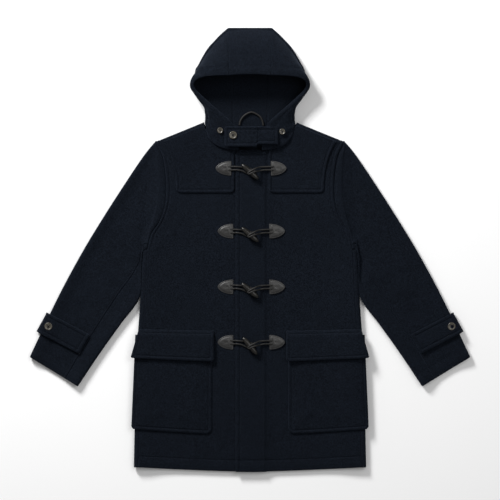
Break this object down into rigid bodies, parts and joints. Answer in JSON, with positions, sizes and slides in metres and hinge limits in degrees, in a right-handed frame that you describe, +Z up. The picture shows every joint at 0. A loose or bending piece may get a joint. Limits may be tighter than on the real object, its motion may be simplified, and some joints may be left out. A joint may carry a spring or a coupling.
{
  "type": "duffle coat",
  "caption": "Hooded duffle coat in thick felted wool laid flat on its back and fastened, with toggles on cord loops, flapped patch pockets, shoulder yokes and cuff tabs.",
  "frame": {"origin": "centre of the coat's bounding box, on the plane that the coat lies on", "axes": "+Z up out of the coat's front, +Y from the hem to the hood, +X to the wearer's left side"},
  "size_m": [1.122, 1.131, 0.063],
  "materials": {
    "melton": "matte felted wool, dark navy",
    "patch_leather": "grained, satin, dark grey-brown",
    "cord": "round cord, matte dark brown",
    "toggle_horn": "horn-like, polished, nearly black brown",
    "button": "horn-like, mottled, satin"
  },
  "bodies": {
    "root": {"back": "melton", "cuff_button_left": "button", "cuff_button_right": "button", "cuff_tab_left": "melton", "cuff_tab_right": "melton", "front_band": "melton", "front_left": "melton", "front_right": "melton", "hanger_loop": "cord", "hood_crown": "melton", "hood_side_left": "melton", "hood_side_right": "melton", "latch_button_left": "button", "latch_button_right": "button", "pocket_flap_left": "melton", "pocket_flap_right": "melton", "pocket_left": "melton", "pocket_right": "melton", "sleeve_under_left": "melton", "sleeve_under_right": "melton", "sleeve_upper_left": "melton", "sleeve_upper_right": "melton", "throat_button": "button", "throat_tab": "melton", "toggle_1": "toggle_horn", "toggle_2": "toggle_horn", "toggle_3": "toggle_horn", "toggle_4": "toggle_horn", "toggle_cord_left_1": "cord", "toggle_cord_left_2": "cord", "toggle_cord_left_3": "cord", "toggle_cord_left_4": "cord", "toggle_cord_right_1": "cord", "toggle_cord_right_2": "cord", "toggle_cord_right_3": "cord", "toggle_cord_right_4": "cord", "toggle_patch_left_1": "patch_leather", "toggle_patch_left_2": "patch_leather", "toggle_patch_left_3": "patch_leather", "toggle_patch_left_4": "patch_leather", "toggle_patch_right_1": "patch_leather", "toggle_patch_right_2": "patch_leather", "toggle_patch_right_3": "patch_leather", "toggle_patch_right_4": "patch_leather", "yoke_left": "melton", "yoke_right": "melton"}
  },
  "joints": []
}
